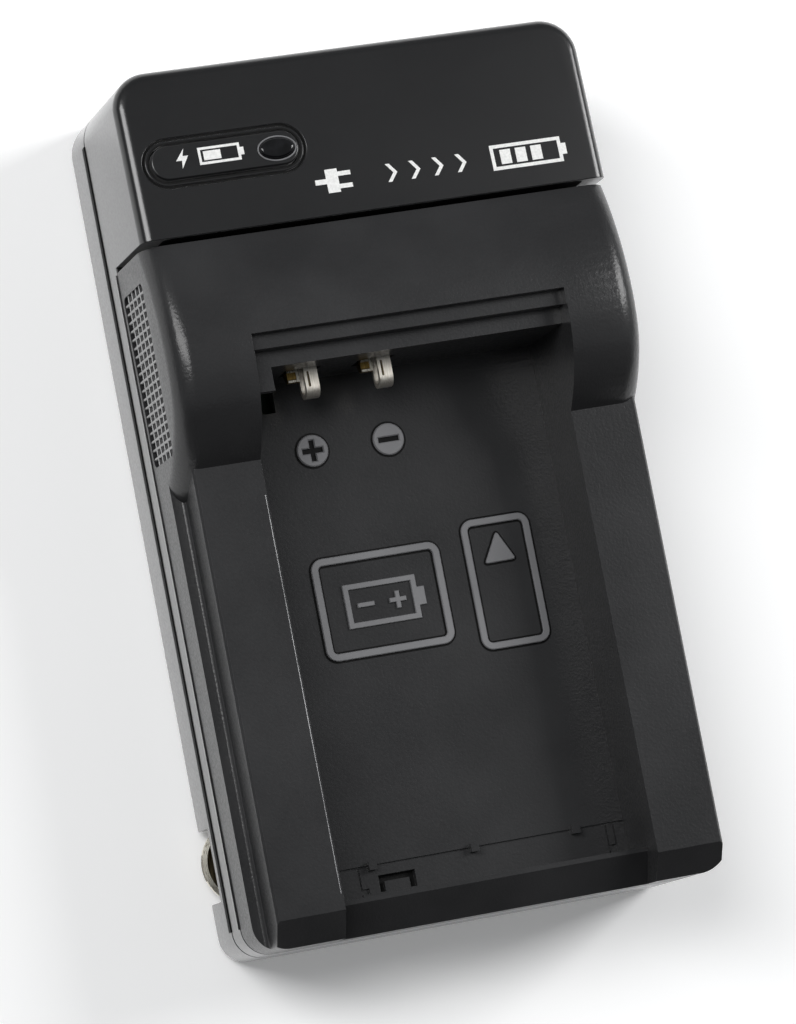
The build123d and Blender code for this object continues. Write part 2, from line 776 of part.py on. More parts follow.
# Flat mains blades, their hinge pins and the springs that feed them
tip_bulge = blade_tip_radius - sqrt(blade_tip_radius**2 - (blade_width / 2) ** 2)
for name, side in (("left", -1), ("right", 1)):
    pivot = side * blade_pitch / 2
    tip = side * (half_width + blade_reach)
    with BuildPart() as plug_blade:
        with BuildSketch(Plane.XY.offset(pivot_height - blade_thickness / 2)):
            with BuildLine():
                near = along(channel_middle) - blade_width / 2
                far = along(channel_middle) + blade_width / 2
                tip_arc = ThreePointArc(
                    (tip - side * tip_bulge, near),
                    (tip, along(channel_middle)),
                    (tip - side * tip_bulge, far),
                )
                Polyline(tip_arc @ 1, (pivot, far), (pivot, near), tip_arc @ 0)
            make_face()
        extrude(amount=blade_thickness)
        chamfer(plug_blade.edges().filter_by(GeomType.CIRCLE), blade_tip_chamfer)
        with BuildSketch(Plane.XY.offset(pivot_height - blade_thickness / 2)):
            with Locations((tip - side * blade_hole_setback, along(channel_middle))):
                Circle(blade_hole_diameter / 2)
        extrude(amount=blade_thickness, mode=Mode.SUBTRACT)
        with BuildSketch(Plane.XZ.offset(-along(channel_middle))):
            with Locations((pivot, pivot_height)):
                Circle(knuckle_diameter / 2)
        extrude(amount=knuckle_length / 2, both=True)
        with BuildSketch(Plane.XZ.offset(-along(channel_middle))):
            with Locations((pivot, pivot_height)):
                Circle(pin_diameter / 2 + pin_gap)
        extrude(amount=channel_width, both=True, mode=Mode.SUBTRACT)
    plug_blade.part.label = f"plug_blade_{name}"
    export_step(plug_blade.part, f"parts/plug_blade_{name}.step")

    with BuildPart() as pivot_pin:
        with BuildSketch(Plane.XZ.offset(-along(channel_middle))):
            with Locations((pivot, pivot_height)):
                Circle(pin_diameter / 2)
        extrude(amount=channel_width / 2 + pin_socket, both=True)
    pivot_pin.part.label = f"pivot_pin_{name}"
    export_step(pivot_pin.part, f"parts/pivot_pin_{name}.step")

    with BuildPart() as blade_spring:
        with BuildSketch(Plane.XZ.offset(-along(channel_middle))):
            with BuildLine():
                Polyline(
                    (side * (blade_spring_offset - blade_spring_foot), board_height - blade_spring_thickness / 2),
                    (side * blade_spring_offset, board_height - blade_spring_thickness / 2),
                    (side * blade_spring_offset, pivot_height - pin_diameter / 2),
                )
            trace(line_width=blade_spring_thickness)
        extrude(amount=blade_spring_width / 2, both=True)
    blade_spring.part.label = f"blade_spring_{name}"
    export_step(blade_spring.part, f"parts/blade_spring_{name}.step")

# Four self-tapping screws, driven from the back
with BuildPart() as case_screws:
    with BuildSketch(Plane.XY.offset(screw_recess - screw_head_height)):
        with Locations(*screw_spots):
            Circle(screw_head_diameter / 2)
    extrude(amount=screw_head_height)
    with BuildSketch(Plane.XY.offset(screw_recess)):
        with Locations(*screw_spots):
            Circle(screw_shank_diameter / 2)
    extrude(amount=screw_length)
case_screws.part.label = "case_screws"
export_step(case_screws.part, "parts/case_screws.step")
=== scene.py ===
import math

import bmesh
import bpy
from mathutils import Matrix, Vector


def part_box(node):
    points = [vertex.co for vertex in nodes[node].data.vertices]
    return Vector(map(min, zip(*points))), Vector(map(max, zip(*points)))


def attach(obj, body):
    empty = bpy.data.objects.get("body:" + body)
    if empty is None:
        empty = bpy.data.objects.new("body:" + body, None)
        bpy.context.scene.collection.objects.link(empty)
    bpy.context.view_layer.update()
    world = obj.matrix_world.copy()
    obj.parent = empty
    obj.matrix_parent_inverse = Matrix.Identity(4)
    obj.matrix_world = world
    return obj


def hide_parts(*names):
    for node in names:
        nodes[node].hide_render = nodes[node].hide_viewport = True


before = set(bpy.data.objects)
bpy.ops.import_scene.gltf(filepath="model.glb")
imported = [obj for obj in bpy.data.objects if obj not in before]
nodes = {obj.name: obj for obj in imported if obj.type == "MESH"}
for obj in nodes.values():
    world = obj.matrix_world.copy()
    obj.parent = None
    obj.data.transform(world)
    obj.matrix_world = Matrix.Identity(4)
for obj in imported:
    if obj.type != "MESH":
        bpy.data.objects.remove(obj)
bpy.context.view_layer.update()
print("frame loaded,", len(nodes), "nodes")

bodyLength = 93.5  # mm, foot end to cap end
halfWidth = 26.0  # mm, middle to side wall


def mm(length):  # mm to metres
    return length / 1000


def inMm(length):  # metres to mm
    return length * 1000


def along(distance):  # mm from the foot end, to metres in the frame
    return mm(distance - bodyLength / 2)


def fromFoot(y):  # metres in the frame, to mm from the foot end
    return inMm(y) + bodyLength / 2


def linearColour(code):  # sRGB hex to linear
    parts = [int(code[i:i + 2], 16) / 255 for i in (1, 3, 5)]
    return [p / 12.92 if p <= 0.04045 else ((p + 0.055) / 1.055) ** 2.4 for p in parts] + [1.0]


def addNode(material, kind, settings=None, links=None):
    node = material.node_tree.nodes.new(kind)
    for key, value in (settings or {}).items():
        if isinstance(key, int) or key in node.inputs:
            node.inputs[key].default_value = value
        else:
            setattr(node, key, value)
    for key, source in (links or {}).items():
        material.node_tree.links.new(source, node.inputs[key])
    return node


def setTones(ramp, codes, stops=(0.0, 1.0)):  # the dark and the light end of a colour ramp
    for element, code, stop in zip(ramp.color_ramp.elements, codes, stops):
        element.position = stop
        element.color = linearColour(code)


def newMaterial(name):
    material = bpy.data.materials.new(name)
    material.use_nodes = True
    material.node_tree.nodes.clear()
    return material


# camera
cameraSet = {
    "place": (-0.1551, -0.06305, 0.5434),
    "forward": (0.27818, 0.10904, -0.95432),
    "up": (0.15197, 0.97603, 0.15582),
    "lens": 181.3,  # long lens, the sides barely converge
    "sensor": 36,
}


def makeCamera():
    data = bpy.data.cameras.new("productCamera")
    data.lens = cameraSet["lens"]
    data.sensor_width = cameraSet["sensor"]
    camera = bpy.data.objects.new("productCamera", data)
    bpy.context.scene.collection.objects.link(camera)
    backAxis = -Vector(cameraSet["forward"]).normalized()
    rightAxis = Vector(cameraSet["up"]).cross(backAxis).normalized()
    upAxis = backAxis.cross(rightAxis)
    turn = Matrix((rightAxis, upAxis, backAxis)).transposed()
    camera.matrix_world = Matrix.Translation(cameraSet["place"]) @ turn.to_4x4()
    bpy.context.scene.camera = camera


# paper sweep, white round the horizon with a dim ceiling
stageSet = {
    "paperHex": ("#FAFAFA", "#FFFFFF"),
    "mottle": 40,  # mm
    "size": 6.0,
    "drop": 0.05,  # mm under the back, so that the two share no plane
    "nearRay": 0.5,  # mm, rays as short as this pass through
    "lift": 0.20,  # share of plain white seen by the camera, by gloss and through glass
    "skyHex": ("#FFFFFF", "#7A7C7E"),
    "ceilingStart": 0.1,  # height on the unit sphere of the sky
}


def pictureLift(material):  # camera, glossy and transmission rays, added
    rays = addNode(material, "ShaderNodeLightPath")
    shine = addNode(material, "ShaderNodeMath", {"operation": "ADD"},
                    {0: rays.outputs["Is Glossy Ray"], 1: rays.outputs["Is Transmission Ray"]})
    seen = addNode(material, "ShaderNodeMath", {"operation": "ADD", "use_clamp": True},
                   {0: rays.outputs["Is Camera Ray"], 1: shine.outputs[0]})
    return addNode(material, "ShaderNodeMath", {"operation": "MULTIPLY", 1: stageSet["lift"]},
                   {0: seen.outputs[0]}).outputs[0]


def seeThrough(material):  # from below and to what lies on it, so that the back can be seen
    side = addNode(material, "ShaderNodeNewGeometry")
    rays = addNode(material, "ShaderNodeLightPath")
    near = addNode(material, "ShaderNodeMath", {"operation": "LESS_THAN", 1: mm(stageSet["nearRay"])},
                   {0: rays.outputs["Ray Length"]})
    return addNode(material, "ShaderNodeMath", {"operation": "MAXIMUM"},
                   {0: side.outputs["Backfacing"], 1: near.outputs[0]}).outputs[0]


def paperFinish():  # plain paper, an even pale ground that keeps the shadow
    paper = newMaterial("paperSweepMatte")
    mottle = addNode(paper, "ShaderNodeTexNoise", {"Scale": 1 / mm(stageSet["mottle"]), "Detail": 2.0})
    tone = addNode(paper, "ShaderNodeValToRGB", links={"Fac": mottle.outputs["Fac"]})
    setTones(tone, stageSet["paperHex"])
    matte = addNode(paper, "ShaderNodeBsdfDiffuse", links={"Color": tone.outputs["Color"]})
    glow = addNode(paper, "ShaderNodeEmission", links={"Strength": pictureLift(paper)})
    both = addNode(paper, "ShaderNodeAddShader", links={0: matte.outputs[0], 1: glow.outputs[0]})
    clear = addNode(paper, "ShaderNodeBsdfTransparent")
    mix = addNode(paper, "ShaderNodeMixShader",
                  links={0: seeThrough(paper), 1: both.outputs[0], 2: clear.outputs[0]})
    addNode(paper, "ShaderNodeOutputMaterial", links={"Surface": mix.outputs[0]})
    return paper


def sheetObject(name, corners, material):
    mesh = bpy.data.meshes.new(name)
    mesh.from_pydata(corners, [], [(0, 1, 2, 3)])
    mesh.materials.append(material)
    sheet = bpy.data.objects.new(name, mesh)
    bpy.context.scene.collection.objects.link(sheet)
    return sheet


def makeFloor():
    half = stageSet["size"] / 2
    corners = [(-half, -half, 0), (half, -half, 0), (half, half, 0), (-half, half, 0)]
    floor = sheetObject("paperSweep", corners, paperFinish())
    floor.location.z = -mm(stageSet["drop"])


def makeWorld():
    world = bpy.data.worlds.new("studioWhite")
    bpy.context.scene.world = world
    world.use_nodes = True
    world.node_tree.nodes.clear()
    place = addNode(world, "ShaderNodeTexCoord")
    split = addNode(world, "ShaderNodeSeparateXYZ", links={0: place.outputs["Generated"]})
    rise = addNode(world, "ShaderNodeMapRange", {"From Min": 0.0, "From Max": stageSet["ceilingStart"]},
                   {"Value": split.outputs["Z"]})
    tone = addNode(world, "ShaderNodeValToRGB", links={"Fac": rise.outputs[0]})
    setTones(tone, stageSet["skyHex"])
    sky = addNode(world, "ShaderNodeBackground", links={"Color": tone.outputs[0]})
    addNode(world, "ShaderNodeOutputWorld", links={"Surface": sky.outputs[0]})


# black card past the foot, unseen by the camera, deepens the shadow
flagSet = {"y": -0.30, "width": 1.2, "bottom": 0.002, "top": 0.42, "nap": 2, "hex": ("#040404", "#0C0C0C")}


def makeFlag():
    cloth = newMaterial("blackVelvetFlag")  # napped cloth, takes the light without a shine
    nap = addNode(cloth, "ShaderNodeTexNoise", {"Scale": 1 / mm(flagSet["nap"]), "Detail": 2.0})
    tone = addNode(cloth, "ShaderNodeValToRGB", links={"Fac": nap.outputs["Fac"]})
    setTones(tone, flagSet["hex"])
    matte = addNode(cloth, "ShaderNodeBsdfDiffuse", links={"Color": tone.outputs["Color"]})
    addNode(cloth, "ShaderNodeOutputMaterial", links={"Surface": matte.outputs[0]})
    half, y, low, top = flagSet["width"] / 2, flagSet["y"], flagSet["bottom"], flagSet["top"]
    flag = sheetObject("blackFlag", [(-half, y, low), (half, y, low), (half, y, top), (-half, y, top)], cloth)
    flag.visible_camera = False
    flag.visible_shadow = False  # the paper past the card stays lit


lampSet = {
    "leftSoftbox": {"place": (-0.30, 0.17, 0.50), "size": (0.20, 0.44), "watts": 2.2},
    "rightSoftbox": {"place": (0.45, 0.12, 0.41), "size": (0.18, 0.34), "watts": 2.0},
}
lampAim = 12  # mm above the back


def makeLamps():
    target = Vector((0, 0, mm(lampAim)))
    for name, look in lampSet.items():
        data = bpy.data.lights.new(name, "AREA")
        data.shape = "RECTANGLE"
        data.size, data.size_y = look["size"]
        data.energy = look["watts"]
        lamp = bpy.data.objects.new(name, data)
        lamp.location = look["place"]
        lamp.rotation_euler = (target - lamp.location).to_track_quat("-Z", "Y").to_euler()
        bpy.context.scene.collection.objects.link(lamp)


makeCamera()
bpy.context.scene.view_settings.view_transform = "Standard"
makeFloor()
makeWorld()
makeFlag()
makeLamps()
print("camera, floor and lamps set")


noiseSpan = (0.3, 0.7)  # where most of a noise pattern's values lie

# ABS as it leaves the mould: black, a soft sheen, pale at a low angle
# the real grain is near 0.08 mm, drawn coarser to show
plasticSet = {"flow": 14, "stops": (0.35, 0.68), "bump": 0.6, "ior": 1.54, "bloomRough": 0.3, "coatShare": 0.6}
plasticLooks = {
    "absSatinMoulded": {  # back shell, fine sparkle on a grey sheen
        "hex": ("#0C0C0E", "#131315"), "rough": (0.30, 0.40), "grain": 0.30, "height": 0.004,
        "bloom": 0.15, "coat": 1.0, "level": 0.5},
    "absGlossMoulded": {  # cap, a deep black with pale walls
        "hex": ("#121213", "#171718"), "rough": (0.30, 0.38), "grain": 0.30, "height": 0.002,
        "bloom": 0.30, "coat": 1.0, "level": 0.20},
    "absGrainedMoulded": {  # cradle, a duller black with a fine broken gloss
        "hex": ("#262627", "#313132"), "rough": (0.32, 0.46), "grain": 0.30, "height": 0.040,
        "bloom": 0.05, "coat": 0.5, "level": 0.15},
    "absRaisedPaleAndHighlight": {  # raised marks, paler than the floor; on the lens lip, a painted highlight
        "hex": ("#707072", "#808082"), "rough": (0.32, 0.42), "grain": 0.30, "height": 0.004,
        "bloom": 0.06, "coat": 0.0, "level": 0.5},
    "absPaintedEdgeGlint": {  # painted glint along the bay edge, a broken bright line
        "hex": ("#3A3A3C", "#A6A6A8"), "rough": (0.22, 0.34), "grain": 1.20, "height": 0.002,
        "bloom": 0.0, "coat": 0.0, "level": 0.5},
    "absPaintedShadeMatte": {  # painted shade for grooves, gaps, slots and hollows: near black, hardly any shine
        "hex": ("#040404", "#080808"), "rough": (0.66, 0.78), "grain": 0.26, "height": 0.006,
        "bloom": 0.0, "coat": 0.0, "level": 0.2},
}


def mouldedPlastic(name):
    look = plasticLooks[name]
    material = newMaterial(name)
    place = addNode(material, "ShaderNodeTexCoord")
    flow = addNode(material, "ShaderNodeTexNoise", {"Scale": 1 / mm(plasticSet["flow"]), "Detail": 3.0},
                   {"Vector": place.outputs["Object"]})
    grain = addNode(material, "ShaderNodeTexNoise", {"Scale": 1 / mm(look["grain"]), "Detail": 3.0},
                    {"Vector": place.outputs["Object"]})
    tone = addNode(material, "ShaderNodeValToRGB", links={"Fac": flow.outputs["Fac"]})
    setTones(tone, look["hex"], plasticSet["stops"])
    sheen = addNode(material, "ShaderNodeMapRange", {
        "From Min": noiseSpan[0], "From Max": noiseSpan[1],
        "To Min": look["rough"][0], "To Max": look["rough"][1]}, {"Value": grain.outputs["Fac"]})
    relief = addNode(material, "ShaderNodeBump", {
        "Strength": plasticSet["bump"], "Distance": mm(look["height"])}, {"Height": grain.outputs["Fac"]})
    skin = addNode(material, "ShaderNodeBsdfPrincipled", {
        "IOR": plasticSet["ior"], "Specular IOR Level": look["level"],
        "Sheen Weight": look["bloom"], "Sheen Roughness": plasticSet["bloomRough"],
        "Coat Weight": look["coat"], "Coat Roughness": look["rough"][0] * plasticSet["coatShare"]}, {
        "Base Color": tone.outputs["Color"], "Roughness": sheen.outputs[0],
        "Normal": relief.outputs[0], "Coat Normal": relief.outputs[0]})
    addNode(material, "ShaderNodeOutputMaterial", links={"Surface": skin.outputs[0]})
    return material


# metal with fine drawn lines that break up the shine, real lines are near 0.02 mm and drawn coarser to show
metalSet = {"stretch": (1.0, 0.08, 1.0), "stops": (0.3, 0.7), "bump": 0.5}
metalLooks = {
    "nickelPlateSatin": {  # contacts, warm white with a soft glow
        "hex": ("#DAD3C6", "#F6F2EA"), "rough": (0.46, 0.60), "line": 0.12, "height": 0.003},
    "nickelPlateBright": {  # bright plating on the combs, and painted highlight on the blade rims, cream and crisp
        "hex": ("#E2DAC8", "#F6F2E6"), "rough": (0.24, 0.36), "line": 0.12, "height": 0.002},
    "nickelTarnishAndDarkReflection": {  # blade faces browned by use, and painted dark reflection lines on the contacts
        "hex": ("#4E4532", "#7A6E56"), "rough": (0.22, 0.34), "line": 0.20, "height": 0.003},
    "brassRolled": {  # leaves and springs, dull gold
        "hex": ("#6E5A30", "#A58A50"), "rough": (0.26, 0.42), "line": 0.15, "height": 0.004},
    "zincSteelTurned": {  # pins and screws, cool grey with turning lines
        "hex": ("#8E9092", "#B4B6B8"), "rough": (0.28, 0.40), "line": 0.10, "height": 0.004},
    "aluminiumCanDrawn": {  # capacitor cans, pale with drawn lines
        "hex": ("#A5A7AA", "#C2C4C7"), "rough": (0.28, 0.42), "line": 0.20, "height": 0.003},
}


def workedMetal(name):
    look = metalLooks[name]
    material = newMaterial(name)
    place = addNode(material, "ShaderNodeTexCoord")
    drawn = addNode(material, "ShaderNodeMapping", {"Scale": metalSet["stretch"]},
                    {"Vector": place.outputs["Object"]})
    line = addNode(material, "ShaderNodeTexNoise", {"Scale": 1 / mm(look["line"]), "Detail": 4.0},
                   {"Vector": drawn.outputs[0]})
    tone = addNode(material, "ShaderNodeValToRGB", links={"Fac": line.outputs["Fac"]})
    setTones(tone, look["hex"], metalSet["stops"])
    sheen = addNode(material, "ShaderNodeMapRange", {
        "From Min": noiseSpan[0], "From Max": noiseSpan[1],
        "To Min": look["rough"][0], "To Max": look["rough"][1]}, {"Value": line.outputs["Fac"]})
    relief = addNode(material, "ShaderNodeBump", {
        "Strength": metalSet["bump"], "Distance": mm(look["height"])}, {"Height": line.outputs["Fac"]})
    skin = addNode(material, "ShaderNodeBsdfPrincipled", {"Metallic": 1.0}, {
        "Base Color": tone.outputs["Color"], "Roughness": sheen.outputs[0], "Normal": relief.outputs[0]})
    addNode(material, "ShaderNodeOutputMaterial", links={"Surface": skin.outputs[0]})
    return material


# other finishes, mostly inside the case
otherSet = {"stops": (0.35, 0.65), "roughSpread": (0.85, 1.15)}
otherLooks = {
    "padInkWhite": {  # printed signs, flat white, thinner in spots
        "hex": ("#E4E4E2", "#F4F4F2"), "rough": 0.5, "spot": 0.25, "ior": 1.5},
    "lensAcrylicSmoked": {  # lamp lens, near black and glassy
        "hex": ("#0A0A0B", "#161618"), "rough": 0.12, "spot": 1.2, "ior": 1.49},
    "epoxyTintedRed": {  # charge lamp, a clear deep red
        "hex": ("#8E1A14", "#B02A20"), "rough": 0.2, "spot": 0.8, "ior": 1.55},
    "glassEpoxyLaminate": {  # circuit board, dark green with a faint weave
        "hex": ("#16301C", "#1E3C24"), "rough": 0.45, "spot": 0.6, "ior": 1.55},
    "ferriteSintered": {  # cores, dull brown black like fired clay
        "hex": ("#2A2826", "#383532"), "rough": 0.7, "spot": 0.4, "ior": 1.8},
    "polyesterTapeWound": {  # winding, yellow tape with a slick face
        "hex": ("#C09A1E", "#DDB632"), "rough": 0.35, "spot": 1.5, "ior": 1.57},
    "sodaGlassTube": {  # fuse, pale and shiny
        "hex": ("#B8C4C2", "#D4DCDA"), "rough": 0.1, "spot": 2.0, "ior": 1.52},
    "epoxyChipMoulded": {  # chips, dry black
        "hex": ("#161616", "#222222"), "rough": 0.6, "spot": 0.25, "ior": 1.55},
}


def plainFinish(name):
    look = otherLooks[name]
    material = newMaterial(name)
    place = addNode(material, "ShaderNodeTexCoord")
    spot = addNode(material, "ShaderNodeTexNoise", {"Scale": 1 / mm(look["spot"]), "Detail": 3.0},
                   {"Vector": place.outputs["Object"]})
    tone = addNode(material, "ShaderNodeValToRGB", links={"Fac": spot.outputs["Fac"]})
    setTones(tone, look["hex"], otherSet["stops"])
    smooth, dry = [look["rough"] * share for share in otherSet["roughSpread"]]
    sheen = addNode(material, "ShaderNodeMapRange", {
        "From Min": noiseSpan[0], "From Max": noiseSpan[1], "To Min": smooth, "To Max": dry},
        {"Value": spot.outputs["Fac"]})
    skin = addNode(material, "ShaderNodeBsdfPrincipled", {"IOR": look["ior"]}, {
        "Base Color": tone.outputs["Color"], "Roughness": sheen.outputs[0]})
    addNode(material, "ShaderNodeOutputMaterial", links={"Surface": skin.outputs[0]})
    return material


finishes = {name: mouldedPlastic(name) for name in plasticLooks}
finishes.update({name: workedMetal(name) for name in metalLooks})
finishes.update({name: plainFinish(name) for name in otherLooks})

nodeFinishes = {
    "rear_shell": "absSatinMoulded", "front_frame": "absGlossMoulded", "battery_cradle": "absGrainedMoulded",
    "indicator_plate": "absGlossMoulded", "led_lens": "lensAcrylicSmoked", "charge_led": "epoxyTintedRed",
    "positive_contact": "nickelPlateSatin", "negative_contact": "nickelPlateSatin",
    "positive_leaf": "brassRolled", "negative_leaf": "brassRolled",
    "circuit_board": "glassEpoxyLaminate", "transformer_core": "ferriteSintered",
    "transformer_winding": "polyesterTapeWound", "input_capacitor": "aluminiumCanDrawn",
    "output_capacitor": "aluminiumCanDrawn", "choke": "ferriteSintered", "fuse": "sodaGlassTube",
    "rectifier": "epoxyChipMoulded", "controller_chip": "epoxyChipMoulded",
    "plug_blade_left": "nickelTarnishAndDarkReflection", "plug_blade_right": "nickelTarnishAndDarkReflection",
    "pivot_pin_left": "zincSteelTurned", "pivot_pin_right": "zincSteelTurned",
    "blade_spring_left": "brassRolled", "blade_spring_right": "brassRolled",
    "case_screws": "zincSteelTurned",
}
for nodeName, finishName in nodeFinishes.items():
    nodes[nodeName].data.materials.clear()
    nodes[nodeName].data.materials.append(finishes[finishName])
print("finishes made,", len(finishes))


def newPiece(name, mesh, finishName, body):
    mesh.materials.append(finishes[finishName])
    piece = bpy.data.objects.new(name, mesh)
    bpy.context.scene.collection.objects.link(piece)
    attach(piece, body)
    return piece


def sharpShade(mesh, degrees):
    mesh.shade_smooth()
    mesh.set_sharp_from_angle(angle=math.radians(degrees))


def meshFrom(work, name, degrees=30):  # closes a bmesh and shades what it holds
    mesh = bpy.data.meshes.new(name)
    work.to_mesh(mesh)
    work.free()
    sharpShade(mesh, degrees)
    return mesh


# case shells with the small edge rounds that a mould leaves
shellSet = {"merge": 0.002, "flat": 0.4, "corner": 32}  # mm, and degrees between faces
shellEdges = {
    "rear_shell": {"piece": "rearShellSkin", "round": 0.05, "slot": "case_plastic"},
    "front_frame": {"piece": "frontFrameSkin", "round": 0.22, "slot": "cap_plastic"},
    "battery_cradle": {"piece": "cradleSkin", "round": 0.36, "slot": "cradle_plastic"},
    "indicator_plate": {"piece": "indicatorSkin", "round": 0.06, "slot": "indicator_plastic"},
}


def roundedShell(nodeName):
    look = shellEdges[nodeName]
    work = bmesh.new()
    work.from_mesh(nodes[nodeName].data)
    bmesh.ops.remove_doubles(work, verts=work.verts, dist=mm(shellSet["merge"]))
    flat = math.radians(shellSet["flat"])
    bmesh.ops.dissolve_limit(work, angle_limit=flat, verts=work.verts, edges=work.edges)
    work.verts.index_update()
    points = [vertex.co.copy() for vertex in work.verts]
    faces = [[vertex.index for vertex in face.verts] for face in work.faces]
    work.free()
    mesh = bpy.data.meshes.new(look["piece"])
    mesh.from_pydata(points, [], faces)
    mesh.validate()
    piece = newPiece(look["piece"], mesh, nodeFinishes[nodeName], "case")
    edge = piece.modifiers.new("mouldRound", "BEVEL")
    edge.width = mm(look["round"])
    edge.segments = 2
    edge.limit_method = "ANGLE"
    edge.angle_limit = math.radians(shellSet["corner"])
    edge.use_clamp_overlap = True
    edge.harden_normals = True
    sharpShade(mesh, shellSet["corner"])
    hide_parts(nodeName)


for nodeName in shellEdges:
    roundedShell(nodeName)
print("case shells rounded")


# outlines, points in mm, anticlockwise
def roundedLoop(size, radius, steps=6):
    points = []
    for turnIndex, (sx, sy) in enumerate(((1, 1), (-1, 1), (-1, -1), (1, -1))):
        cx = sx * (size[0] / 2 - radius)
        cy = sy * (size[1] / 2 - radius)
        for step in range(steps + 1):
            angle = math.pi / 2 * (turnIndex + step / steps)
            points.append((cx + radius * math.cos(angle), cy + radius * math.sin(angle)))
    return points


def pillLoop(wide, high, steps):  # a rounded rectangle with all but round ends
    return roundedLoop((wide, high), high / 2 - 0.001, steps)


def ellipseLoop(a, b, count):
    turns = [2 * math.pi * i / count for i in range(count)]
    return [(a * math.cos(t), b * math.sin(t)) for t in turns]


def boxLoop(wide, high):
    a, b = wide / 2, high / 2
    return [(-a, -b), (a, -b), (a, b), (-a, b)]


def signLoop(sign, length, bar):  # plus or minus
    if sign == "minus":
        return boxLoop(length, bar)
    a, b = length / 2, bar / 2
    arm = [(-b, -a), (b, -a), (b, -b)]
    turns = (lambda x, y: (x, y), lambda x, y: (-y, x), lambda x, y: (-x, -y), lambda x, y: (y, -x))
    return [turn(x, y) for turn in turns for x, y in arm]


def insetLoop(points, amount):  # draws a loop in by an even amount, a clockwise loop grows
    moved = []
    for index, point in enumerate(points):
        before, after = Vector(points[index - 1]), Vector(points[(index + 1) % len(points)])
        here = Vector(point)
        first, second = (here - before).normalized(), (after - here).normalized()
        normalA, normalB = Vector((-first.y, first.x)), Vector((-second.y, second.x))
        bisector = (normalA + normalB).normalized()
        moved.append(tuple(here + bisector * amount / max(0.3, bisector.dot(normalA))))  # sharp tips held back
    return moved


def raisedMesh(name, outer, holes, rise, edge):  # low moulded or printed shape with a small bevel, holes open
    work = bmesh.new()

    def ring(points, height):
        return [work.verts.new((mm(x), mm(y), mm(height))) for x, y in points]

    def skirt(low, high):
        for i in range(len(low)):
            j = (i + 1) % len(low)
            work.faces.new((low[i], low[j], high[j], high[i]))

    topEdges = []
    for loop in [outer] + holes:
        low, mid, high = ring(loop, 0), ring(loop, rise - edge), ring(insetLoop(loop, edge), rise)
        skirt(low, mid)
        skirt(mid, high)
        topEdges += [work.edges.get((high[i], high[(i + 1) % len(high)])) for i in range(len(high))]
    bmesh.ops.triangle_fill(work, edges=topEdges, use_beauty=True, normal=(0, 0, 1))
    bmesh.ops.recalc_face_normals(work, faces=work.faces)
    return meshFrom(work, name, 40)


def lay(mesh, x, distance, height):  # mm, onto a level face
    mesh.transform(Matrix.Translation((mm(x), along(distance), mm(height))))


capSet = {"start": 75.2, "grooveHeight": 25.5, "endHeight": 24.4}


def layOnCap(mesh, x, distance, lift=0.0):  # mm, onto the sloping cap
    slope = (capSet["grooveHeight"] - capSet["endHeight"]) / (bodyLength - capSet["start"])
    height = capSet["grooveHeight"] - slope * (distance - capSet["start"])
    lean = Matrix.Rotation(-math.atan(slope), 4, "X")
    mesh.transform(Matrix.Translation((mm(x), along(distance), mm(height + lift))) @ lean)


# raised marks on the floor of the bay, some outlined by a ring of painted shade where the groove round them
# lies
bayMarks = {
    "floor": 12.8,
    "rise": 0.32, "edge": 0.09,
    "groove": 0.22, "inlay": (0.02, 0.01),
    "packPanelBand": {"x": -4.03, "distance": 35.0, "size": (14.5, 11.2), "radius": 1.3, "band": 0.8},
    "slidePanelBand": {"x": 9.92, "distance": 35.05, "size": (7.8, 14.3), "radius": 1.3, "band": 0.75},
    "arrow": ((9.92, 40.6), (8.02, 37.2), (11.62, 37.25)), "arrowEase": 0.45, "arrowSteps": 4,
}
packSet = {  # battery sign in the pack panel: an outline with a terminal, a plus and a minus
    "outline": [(-4.2, -2.4), (4.0, -2.4), (4.0, -1.0), (4.8, -1.0),
                (4.8, 1.0), (4.0, 1.0), (4.0, 2.4), (-4.2, 2.4)],
    "hole": [(-3.6, -1.8), (-3.6, 1.8), (3.4, 1.8), (3.4, -1.8)],
    "signs": {"packPlus": ("plus", 1.7), "packMinus": ("minus", -1.9)},
    "bar": (1.9, 0.5),
    "rise": 0.256, "edge": 0.06,
}
discSet = {
    "discs": {"plusDisc": ("plus", -8.58), "minusDisc": ("minus", 0.02)},
    "distance": 52.3, "diameter": 3.5, "bar": (2.3, 0.55),
    "rise": 0.3, "edge": 0.12,
}


# a flat near-black ring of painted shade, standing for the shaded groove round a mark
def markShadeRing(name, outer, holes, x, distance):
    gap = bayMarks["groove"]
    grown = [insetLoop(loop, -gap) for loop in [outer] + holes]
    mesh = raisedMesh(name, grown[0], grown[1:], *bayMarks["inlay"])
    lay(mesh, x, distance, bayMarks["floor"])
    newPiece(name, mesh, "absPaintedShadeMatte", "case")


def bayMark(name, outer, holes, x, distance, look):
    mesh = raisedMesh(name, outer, holes, look["rise"], look["edge"])
    lay(mesh, x, distance, bayMarks["floor"])
    newPiece(name, mesh, "absRaisedPaleAndHighlight", "case")


def panelBand(name):
    look = bayMarks[name]
    outer = roundedLoop(look["size"], look["radius"])
    inner = [side - 2 * look["band"] for side in look["size"]]
    hole = roundedLoop(inner, look["radius"] - look["band"])[::-1]
    markShadeRing(name + "Groove", outer, [hole], look["x"], look["distance"])
    bayMark(name, outer, [hole], look["x"], look["distance"], bayMarks)


def easedLoop(corners, ease, steps):  # each corner becomes a short curve
    points = []
    for index, corner in enumerate(corners):
        here = Vector(corner)
        before, after = Vector(corners[index - 1]), Vector(corners[(index + 1) % len(corners)])
        start = here + (before - here).normalized() * ease
        end = here + (after - here).normalized() * ease
        for step in range(steps + 1):
            t = step / steps
            points.append(tuple(start * (1 - t) ** 2 + here * 2 * t * (1 - t) + end * t * t))
    return points


